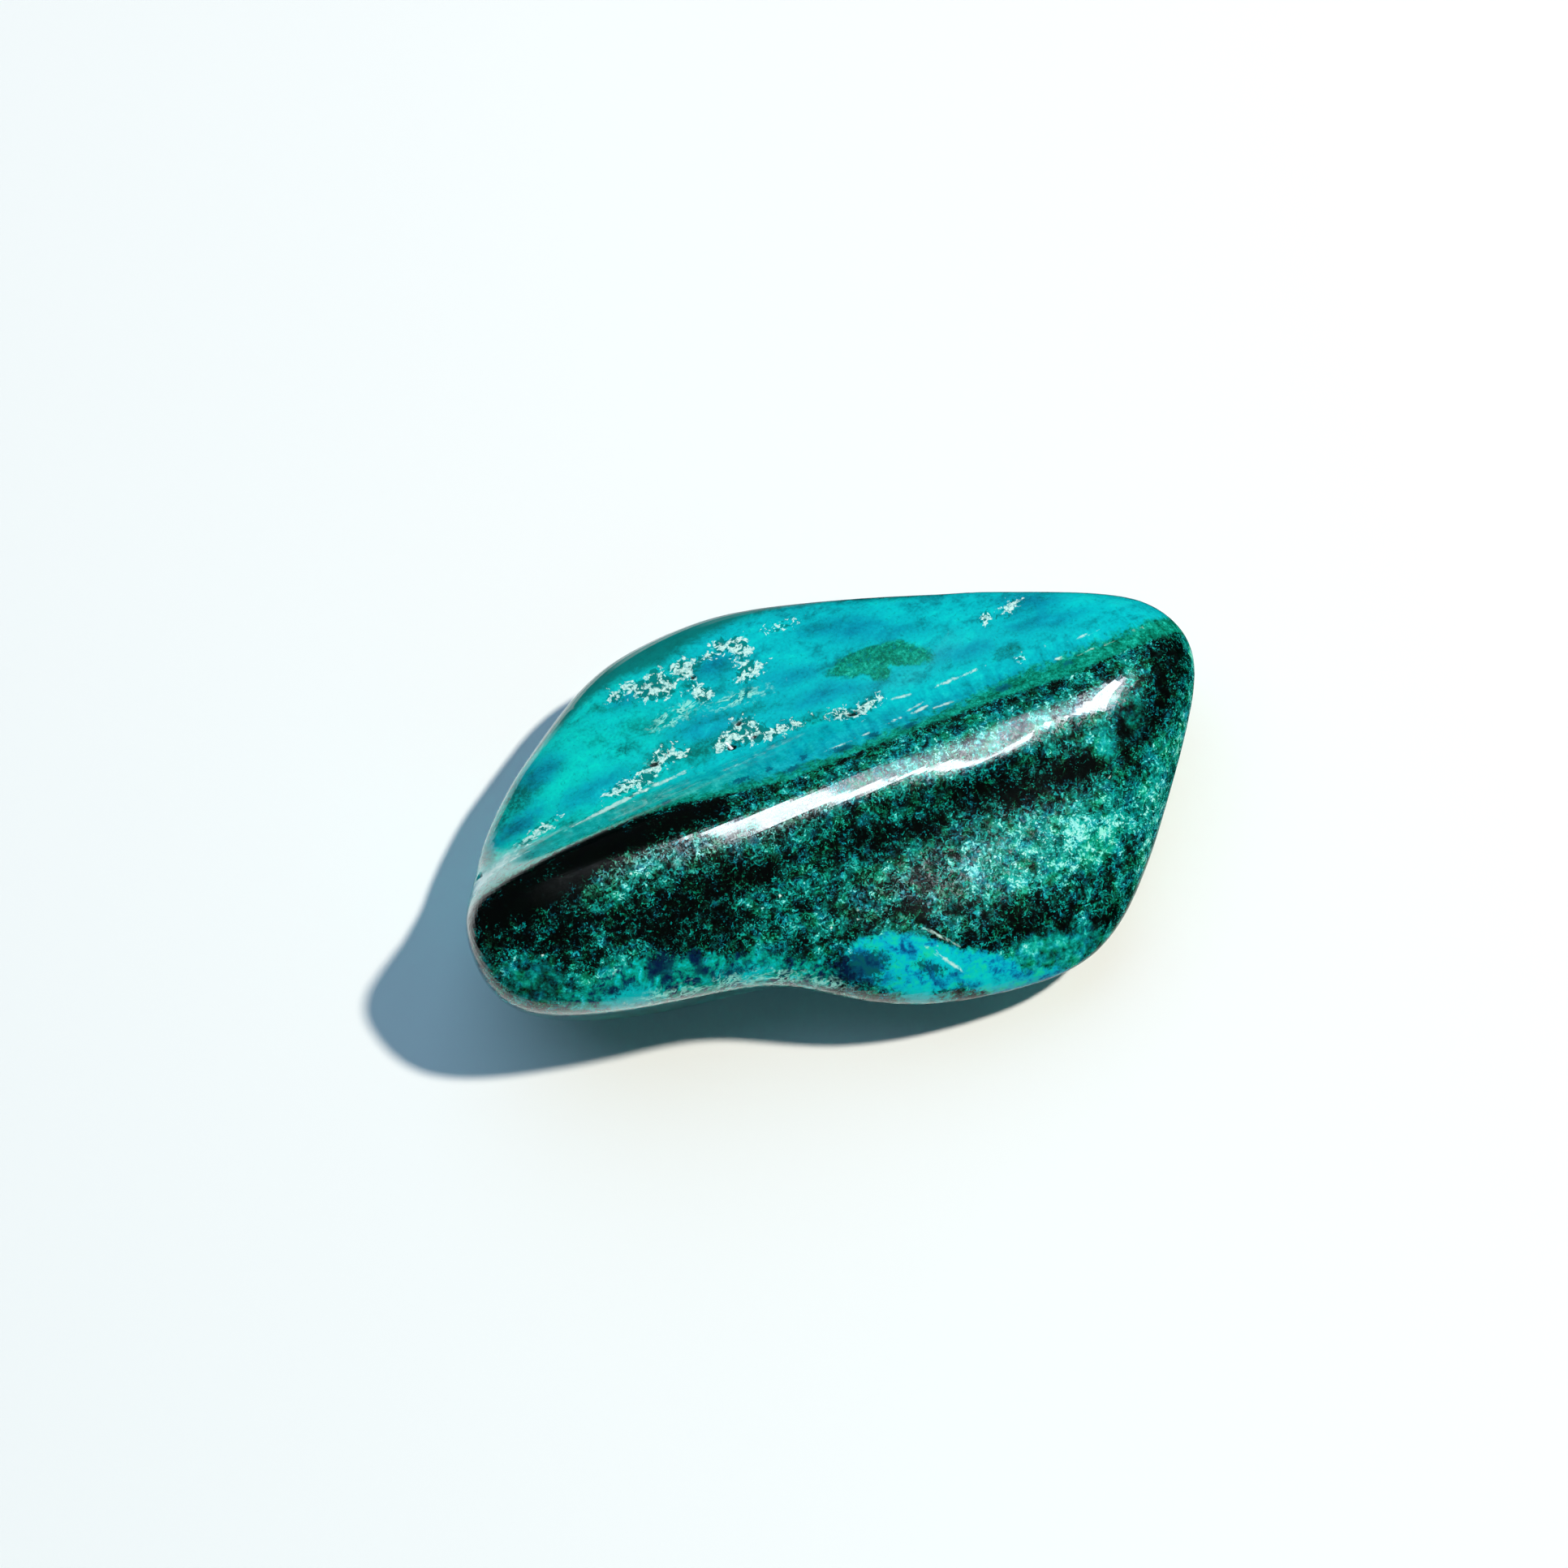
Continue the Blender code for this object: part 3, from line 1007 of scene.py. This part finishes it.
SHELF_GREEN_ROW = paint_row(
    (0.00, 0, 118, 108), (0.25, 0, 165, 155), (0.45, 0, 198, 188),
    (0.65, 0, 212, 194), (0.85, 0, 226, 198), (1.00, 40, 235, 205))
SHELF_CYAN_ROW = paint_row(
    (0.00, 0, 112, 120), (0.25, 0, 150, 160), (0.45, 0, 180, 190),
    (0.65, 0, 195, 200), (0.85, 0, 208, 204), (1.00, 30, 222, 215))
BLUE_ROW = paint_row(
    (0.00, 0, 84, 118), (0.35, 0, 126, 156), (0.65, 0, 154, 180),
    (1.00, 0, 190, 202))
BAND_ROW = paint_row(
    (0.00, 0, 100, 80), (0.35, 0, 138, 122), (0.65, 10, 172, 158),
    (1.00, 60, 205, 190))
GREEN_ROW = paint_row(
    (0.00, 0, 44, 32), (0.40, 0, 116, 92), (0.75, 14, 172, 148),
    (1.00, 50, 204, 180))
DARK_TEAL = pigment(0, 104, 96)
print("palest turquoise:", SHELF_CYAN_ROW[-1])

# %% Front and edge colours
FRONT_ROW = paint_row(
    (0.00, 0, 4, 2), (0.14, 0, 12, 8), (0.27, 0, 36, 28),
    (0.43, 0, 84, 74), (0.60, 0, 136, 124), (0.79, 18, 184, 170),
    (0.93, 80, 214, 204), (1.00, 165, 240, 230))
SEAM_ROW = paint_row(
    (0.00, 0, 10, 28), (0.25, 0, 40, 78), (0.38, 0, 84, 92),
    (0.50, 0, 136, 116), (0.66, 0, 168, 150), (0.82, 0, 200, 205),
    (1.00, 90, 225, 220))
LOBE_ROW = paint_row(
    (0.00, 0, 76, 126), (0.28, 0, 136, 176), (0.48, 0, 178, 204),
    (0.66, 0, 196, 190), (1.00, 20, 206, 164))
BLUE_CAST = pigment(30, 112, 200)
GREEN_CAST = pigment(110, 150, 40)
BRIGHT_CYAN = pigment(0, 205, 208)
DEEP_BLUE = pigment(0, 26, 62)
DOT_BLUE = pigment(0, 66, 98)
# White for the flakes and veins, and for the painted highlights of the crease, the wedge and the
# glints.
FLAKE_AND_HIGHLIGHT_WHITE = pigment(210, 245, 235)
CRUST_WHITE = pigment(160, 240, 225)
# Painted shade for the pits.
PAINTED_PIT_SHADE = pigment(0, 30, 28)
print("blackest ground:", FRONT_ROW[0])

# %% [markdown]
# ## Noise that the finishes share
# A few noise patterns, from speckle to broad mottle, are made once and used by every finish, so
# that borders which lie side by side wander together, as they do in a real layer. Scales count
# lumps per millimetre, because the stone's own coordinates are turned into millimetres first.

# %% Noise and masks
BENDS_PER_MM = 0.4
BEND_DETAIL = 3.0
BEND_REACH = 1.6


def shared_noise(tree):
    """The noise patterns by name, with the straight and the bent coordinates."""
    place = put(tree, "ShaderNodeTexCoord").outputs["Object"]
    per_mm = (1.0 / MM,) * 3
    straight = put(tree, "ShaderNodeMapping", {"Vector": place, "Scale": per_mm}).outputs[0]
    bent = bent_by_noise(tree, straight, BENDS_PER_MM, BEND_DETAIL, BEND_REACH)
    return SimpleNamespace(
        straight=straight,
        bent=bent,
        speckle=cloud(tree, straight, 6.0, 2.0, 0.6),
        mottle=cloud(tree, bent, 1.3, 3.0, 0.6),
        fray=cloud(tree, straight, 2.2, 4.0, 0.65, 0.6),
        crumbs=cloud(tree, straight, 4.2, 3.0, 0.7, 0.8))


def torn(tree, inside, noise_value, fray, blur):
    """A mask from a painted field's name or from a value. Fray and blur are in mm."""
    if isinstance(inside, str):
        inside = field(tree, inside)
    inputs = {"Inside": inside, "Noise": noise_value, "Fray": fray, "Blur": blur}
    return use(tree, torn_edge, inputs)["Mask"]


def wash(tree, below, above, inside, noise_value, fray, blur, strength=1.0):
    """Lay a colour over another inside a torn edge, as strongly as a share from 0 to 1."""
    mask = times(tree, torn(tree, inside, noise_value, fray, blur), strength)
    return blend(tree, mask, below, above)


def drawn_out(tree, vector, scale, turn):
    """Coordinates stretched along one way, for clouds that are longer than wide."""
    inputs = {"Vector": vector, "Scale": scale, "Rotation": (0.0, 0.0, turn)}
    return put(tree, "ShaderNodeMapping", inputs).outputs[0]


# %% [markdown]
# ## The turquoise shelf
# Long soft clouds lie along the layer, greener at the left and bluer to the right. Over them go
# the blue pools, teal shades, a fine teal grit and a darker rim at the back. Each is one blend
# over what is there already, as thin washes are laid on paper.

# %% Shelf colour
CYAN_FROM, CYAN_TO = -16.0, -2.0


def shelf_clouds(tree, noises):
    """Long clouds along the shelf."""
    return cloud(tree, drawn_out(tree, noises.bent, (0.28, 0.7, 0.7), 0.14), 1.0, 4.0, 0.6)


def turquoise_colour(tree, noises):
    """The shelf: calm turquoise, greener at the left, with blue pools and teal shades."""
    clouds = shelf_clouds(tree, noises)
    tone = total(tree, 0.50, swing(tree, clouds, 1.5), swing(tree, noises.mottle, 0.9),
                 swing(tree, noises.speckle, 0.55))
    wavy_x = total(tree, along_x(tree, noises.straight), swing(tree, clouds, 24.0))
    cyan_share = spread(tree, wavy_x, CYAN_FROM, CYAN_TO)
    base = blend(tree, cyan_share, ramp(tree, tone, SHELF_GREEN_ROW),
                 ramp(tree, tone, SHELF_CYAN_ROW))
    blue = ramp(tree, total(tree, tone, -0.08), BLUE_ROW)
    base = wash(tree, base, blue, "blue_pool", noises.mottle, 1.8, 0.55, 0.80)
    shade = torn(tree, "teal_shade", noises.fray, 1.3, 0.30)
    shade = times(tree, shade, spread(tree, noises.crumbs, 0.35, 0.60, 0.35, 0.95))
    base = blend(tree, shade, base, DARK_TEAL)
    grit = spread(tree, noises.crumbs, 0.56, 0.68, 0.0, 0.40)
    base = blend(tree, grit, base, DARK_TEAL)
    return wash(tree, base, DARK_TEAL, "back_rim", noises.fray, 1.2, 0.45, 0.85)


# %% [markdown]
# ## The band behind the ridge
# From the crease forwards the stone was cut across its fibres, so short fibres stand across
# the band. It is green at the left, turns to bluer water to the right, and close to the crease
# it takes on the shelf's own turquoise.

# %% Band colour
WATER_FROM, WATER_TO = -9.0, -1.0


def band_colour(tree, noises):
    """The ridge's back: fibres that stand across the band, and bluer water to the right."""
    fibres = cloud(tree, drawn_out(tree, noises.straight, (2.2, 0.5, 0.5), -0.25), 1.0, 3.0, 0.6)
    tone = total(tree, 0.60, swing(tree, fibres, 1.0), swing(tree, noises.mottle, 0.9),
                 swing(tree, noises.speckle, 0.60))
    to_right = along_x(tree, noises.straight)
    blueness = spread(tree, to_right, WATER_FROM, WATER_TO, 0.05, 0.85)
    blueness = times(tree, blueness, spread(tree, noises.mottle, 0.3, 0.55, 0.55, 1.0))
    band = blend(tree, blueness, ramp(tree, tone, BAND_ROW),
                 ramp(tree, total(tree, tone, 0.12), BLUE_ROW))
    near_crease = opposite(tree, field(tree, "before_crease"))
    upper = torn(tree, near_crease, noises.fray, 1.2, 0.6)
    upper = times(tree, upper, spread(tree, to_right, -11.0, -6.0, 0.1, 0.75))
    return blend(tree, upper, band, ramp(tree, tone, SHELF_CYAN_ROW))


def green_colour(tree, noises):
    """Malachite green, for the strip beside the front and for the leaf."""
    tone = total(tree, 0.50, swing(tree, noises.mottle, 1.0), swing(tree, noises.crumbs, 1.6),
                 swing(tree, noises.speckle, 0.6))
    return ramp(tree, tone, GREEN_ROW)


# %% [markdown]
# ## The dark front
# The painted tone, two sizes of lump and the grains are added up to one number, and a single
# row of colours turns it from black to pale teal. A few grains are much paler than the rest, so
# their random value is raised to the fourth power, which leaves most of them near zero. Soft
# light in blue and green keeps the felt from being all one hue.

# %% Tone and calm places
def front_tone(tree, noises):
    """How light the front is before its grains: the painted tone and two sizes of lump."""
    lumps = cloud(tree, noises.bent, 0.9, 3.0, 0.6)
    clumps = cloud(tree, noises.straight, 2.4, 2.0, 0.6, 0.5)
    return total(tree, field(tree, "front_tone"), swing(tree, lumps, 1.25),
                 swing(tree, clumps, 0.90))


def calm_places(tree, noises):
    """Where the front is smooth: its calm fields, the seam and the lobe."""
    edge = maths(tree, "MAXIMUM", field(tree, "seam"), field(tree, "lobe"))
    calm = maths(tree, "MAXIMUM", field(tree, "calm"), edge)
    return torn(tree, calm, noises.fray, 1.8, 0.60)


def unrest(tree, calm):
    """How lively the grains may be: all of it, but a fifth in calm places."""
    return opposite(tree, times(tree, calm, 0.8))


# %% Grained front
def grained_tone(tree, noises, tone, grain, calm):
    """The tone with its felt of grains, and with a few grains much paler."""
    lively = unrest(tree, calm)
    squared = times(tree, grain, grain)
    sparks = maths(tree, "SUBTRACT", times(tree, squared, squared), 0.15)
    sparks = times(tree, sparks, spread(tree, tone, 0.05, 0.50, 0.50, 0.36))
    return total(tree, tone, times(tree, sparks, lively),
                 times(tree, swing(tree, grain, 0.20), lively),
                 swing(tree, noises.speckle, 0.40))


def front_colour(tree, noises, tone, grain, calm):
    """The grained front, with a blue and a green cast in places."""
    colour = ramp(tree, grained_tone(tree, noises, tone, grain, calm), FRONT_ROW)
    blue_share = times(tree, spread(tree, noises.mottle, 0.46, 0.64), 0.6)
    colour = blend(tree, blue_share, colour, BLUE_CAST, "SOFT_LIGHT")
    hues = cloud(tree, noises.straight, 1.0, 2.0)
    green_share = times(tree, spread(tree, hues, 0.48, 0.62), 0.6)
    return blend(tree, green_share, colour, GREEN_CAST, "SOFT_LIGHT")


# %% Edge colours
def edge_colours(tree, noises, colour):
    """The seam and the lobe along the front edge, over the grained front."""
    seam_clouds = cloud(tree, noises.bent, 1.6, 3.0, 0.6)
    seam_tone = total(tree, 0.48, swing(tree, seam_clouds, 2.1), swing(tree, noises.crumbs, 0.8))
    seam = ramp(tree, seam_tone, SEAM_ROW)
    colour = wash(tree, colour, seam, "seam", noises.fray, 2.2, 0.22)
    lobe_tone = total(tree, 0.50, swing(tree, noises.mottle, 2.4), swing(tree, noises.crumbs, 1.2))
    lobe = ramp(tree, lobe_tone, LOBE_ROW)
    colour = wash(tree, colour, lobe, "lobe", noises.fray, 1.1, 0.14)
    colour = wash(tree, colour, BRIGHT_CYAN, "cyan_spot", noises.fray, 1.6, 0.25, 0.80)
    return wash(tree, colour, DEEP_BLUE, "deep_blue", noises.crumbs, 1.7, 0.22, 0.85)


# %% [markdown]
# ## The small things on top
# Leaf, veins, crust, dots, flakes, pits and glints lie over every layer, so they are blended
# last. The glints and the white line on the crease are painted highlight, and the black in the
# pits and the dark in the flakes' holes are painted shade. Each has its own fray: wide for a
# crumbling flake, narrow for a hair-thin vein. The crust is drawn as waves, by keeping only the
# places where a long cloud is close to its middle.

# %% Leaf, veins and crust
def leaf_and_veins(tree, noises, colour, green):
    """The malachite leaf, the pale veins, the crease's painted highlight and the white wedge,
    partly painted highlight.
    """
    leaf = torn(tree, "malachite", noises.fray, 0.7, 0.12)
    leaf = times(tree, leaf, spread(tree, noises.crumbs, 0.30, 0.48, 0.55, 1.0))
    colour = blend(tree, leaf, colour, green)
    # The veins and the crease's painted highlight are laid on here in one white.
    colour = wash(tree, colour, FLAKE_AND_HIGHLIGHT_WHITE, "vein_and_crease_highlight", noises.fray, 0.30, 0.05, 0.80)
    return wash(tree, colour, FLAKE_AND_HIGHLIGHT_WHITE, "wedge", noises.fray, 1.6, 0.30, 0.70)


def crust_and_dots(tree, noises, colour):
    """The wavy crust along the front edge, and the dark blue dots."""
    waves = cloud(tree, drawn_out(tree, noises.bent, (0.9, 2.4, 2.4), 0.24), 1.0, 3.0, 0.6)
    off_line = maths(tree, "ABSOLUTE", maths(tree, "SUBTRACT", waves, 0.50))
    squiggle = spread(tree, off_line, 0.018, 0.065, 1.0, 0.0)
    squiggle = times(tree, squiggle, torn(tree, "crust", noises.fray, 1.2, 0.25))
    colour = blend(tree, times(tree, squiggle, 0.85), colour, CRUST_WHITE)
    return wash(tree, colour, DOT_BLUE, "dark_dot", noises.crumbs, 0.9, 0.08, 0.75)


# %% Flakes, pits and glints
FLAKE_DEEPEST = 0.02


def flakes_and_pits(tree, noises, colour):
    """The pale flakes with shade painted in their holes, the pits' painted shade, the painted
    glints, and the flakes' own mask.
    """
    in_flake = maths(tree, "MINIMUM", field(tree, "flake"), FLAKE_DEEPEST)
    between_crumbs = opposite(tree, noises.fray)
    # Dark teal between the crumbs is painted shade in the flakes' holes.
    colour = wash(tree, colour, DARK_TEAL, in_flake, between_crumbs, 2.2, 0.06, 0.75)
    flake = torn(tree, in_flake, noises.fray, 2.6, 0.04)
    flake = times(tree, flake, spread(tree, noises.speckle, 0.36, 0.56, 0.35, 0.95))
    colour = blend(tree, flake, colour, FLAKE_AND_HIGHLIGHT_WHITE)
    # The black in the pits is painted shade.
    colour = wash(tree, colour, PAINTED_PIT_SHADE, "pit", noises.fray, 0.6, 0.05)
    # The glints are painted highlights, white laid into the colour.
    painted_glint = spread(tree, field(tree, "painted_glint"), -0.03, 0.03)
    return blend(tree, painted_glint, colour, FLAKE_AND_HIGHLIGHT_WHITE), flake


# %% [markdown]
# ## The polish
# A tumbled stone shines from a hard smooth face over a softer body, so a clear coat gives the
# sharp streak and the rougher body under it gives the glitter. Each grain has its own roughness.
# The hollow of the crease, the black ground and the worn rim take less of the coat, because a
# tumbler doesn't reach or doesn't shine them as well.

# %% Polish
PLAIN_ROUGHNESS = 0.14
GRAIN_ROUGHNESS = (0.12, 0.23)
FLAKE_ROUGHNESS = 0.5
COAT_ON_SHELF = 0.7
COAT_ON_BAND = 0.4
COAT_ON_FRONT = 0.75
COAT_LOST_ON_RIM = 0.9


def polish_body(tree, shader, grain, lively, flake):
    """The body's roughness: a value for each grain, and dull flakes."""
    by_grain = spread(tree, grain, 0.0, 1.0, *GRAIN_ROUGHNESS, smooth=False)
    roughness = between(tree, lively, PLAIN_ROUGHNESS, by_grain)
    roughness = maths(tree, "MAXIMUM", roughness, times(tree, flake, FLAKE_ROUGHNESS))
    tree.links.new(roughness, shader.inputs["Roughness"])


def polish_coat(tree, shader, noises, tone, band_mask, front_mask):
    """The clear coat: full on the shelf and the crest, thinner in the hollow and on the rim."""
    hollow = times(tree, band_mask, opposite(tree, front_mask))
    coat = between(tree, hollow, COAT_ON_SHELF, COAT_ON_BAND)
    on_front = times(tree, COAT_ON_FRONT, spread(tree, tone, 0.0, 0.3, 0.25, 1.0))
    coat = between(tree, front_mask, coat, on_front)
    worn = torn(tree, "worn_rim", noises.fray, 0.8, 0.5)
    coat = times(tree, coat, opposite(tree, times(tree, worn, COAT_LOST_ON_RIM)))
    tree.links.new(coat, shader.inputs["Coat Weight"])


# %% [markdown]
# ## The stone's material
# The finish is built in the order a geologist would describe it: the turquoise, the bands on
# the ridge's back, the dark grained front, the blue seam along the edge, and then the small
# things on top. The shader's own sockets hold what is the same all over the stone.

# %% Stone material
GRAINS_PER_MM = 6.0
GRAIN_TILT = 0.10
BODY_SHINE = 0.3
COAT_ROUGHNESS = 0.06
COAT_IOR = 1.5


def front_grains(tree, noises, lively):
    """The crystal grains of the front, tilted where the front is lively."""
    normal = put(tree, "ShaderNodeNewGeometry").outputs["Normal"]
    return use(tree, crystal_grains, {
        "Vector": noises.straight, "Per mm": GRAINS_PER_MM, "Normal": normal,
        "Tilt": times(tree, lively, GRAIN_TILT)})


def stone_finish(tree, shader):
    """Every layer of colour and the polish, from the back of the stone to its front."""
    noises = shared_noise(tree)
    green = green_colour(tree, noises)
    band_mask = torn(tree, "before_crease", noises.mottle, 0.5, 0.12)
    colour = blend(tree, band_mask, turquoise_colour(tree, noises), band_colour(tree, noises))
    colour = wash(tree, colour, green, "green_strip", noises.fray, 2.4, 0.35)

    front_mask = torn(tree, "before_border", noises.fray, 0.7, 0.10)
    tone = front_tone(tree, noises)
    calm = calm_places(tree, noises)
    lively = times(tree, front_mask, spread(tree, tone, 0.10, 0.40, 0.12, 1.0))
    lively = times(tree, lively, unrest(tree, calm))
    grains = front_grains(tree, noises, lively)
    front = front_colour(tree, noises, tone, grains["Grain"], calm)
    colour = blend(tree, front_mask, colour, edge_colours(tree, noises, front))

    colour = crust_and_dots(tree, noises, leaf_and_veins(tree, noises, colour, green))
    colour, flake = flakes_and_pits(tree, noises, colour)
    tree.links.new(colour, shader.inputs["Base Color"])
    tree.links.new(grains["Normal"], shader.inputs["Normal"])
    polish_body(tree, shader, grains["Grain"], lively, flake)
    polish_coat(tree, shader, noises, tone, band_mask, front_mask)


def polished_chrysocolla():
    """The whole finish of the polished stone."""
    material = bpy.data.materials.new("polished_chrysocolla")
    material.use_nodes = True
    shader = material.node_tree.nodes["Principled BSDF"]
    stone_finish(material.node_tree, shader)
    shader.inputs["Specular IOR Level"].default_value = BODY_SHINE
    shader.inputs["Coat Roughness"].default_value = COAT_ROUGHNESS
    shader.inputs["Coat IOR"].default_value = COAT_IOR
    print(f"stone material: {len(material.node_tree.nodes)} nodes")
    return material


stone.data.materials.append(polished_chrysocolla())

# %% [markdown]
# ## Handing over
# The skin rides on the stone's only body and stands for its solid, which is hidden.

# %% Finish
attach(stone, "root")
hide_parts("stone")
